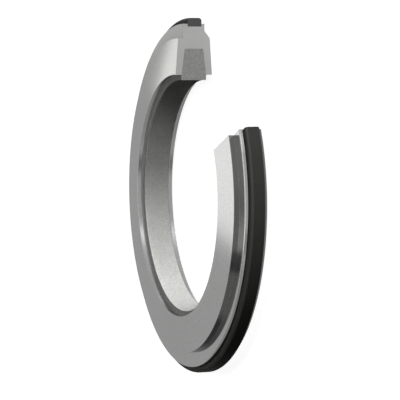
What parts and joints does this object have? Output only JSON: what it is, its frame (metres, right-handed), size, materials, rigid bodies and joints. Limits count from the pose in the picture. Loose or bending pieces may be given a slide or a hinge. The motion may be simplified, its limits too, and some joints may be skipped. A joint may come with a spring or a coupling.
{
  "type": "felt seal",
  "caption": "Ring-shaped felt shaft seal: a turned metal carrier with a tapered felt ring in its bore and a rubber cord round its flange, cut open to show the section.",
  "frame": {"origin": "on the ring's axis, in the plane that its back bore edge rests on", "axes": "+Z along the axis, towards the stepped front face; the cut sector is centred between +X and +Y"},
  "size_m": [0.0844, 0.0844, 0.0092],
  "materials": {
    "turned_metal": "fine turned, satin to polished",
    "pressed_felt": "grey pressed wool felt, matt",
    "black_rubber": "black moulded rubber, matt"
  },
  "bodies": {
    "root": {"carrier_ring": "turned_metal", "felt_ring": "pressed_felt", "rubber_ring": "black_rubber"}
  },
  "joints": []
}
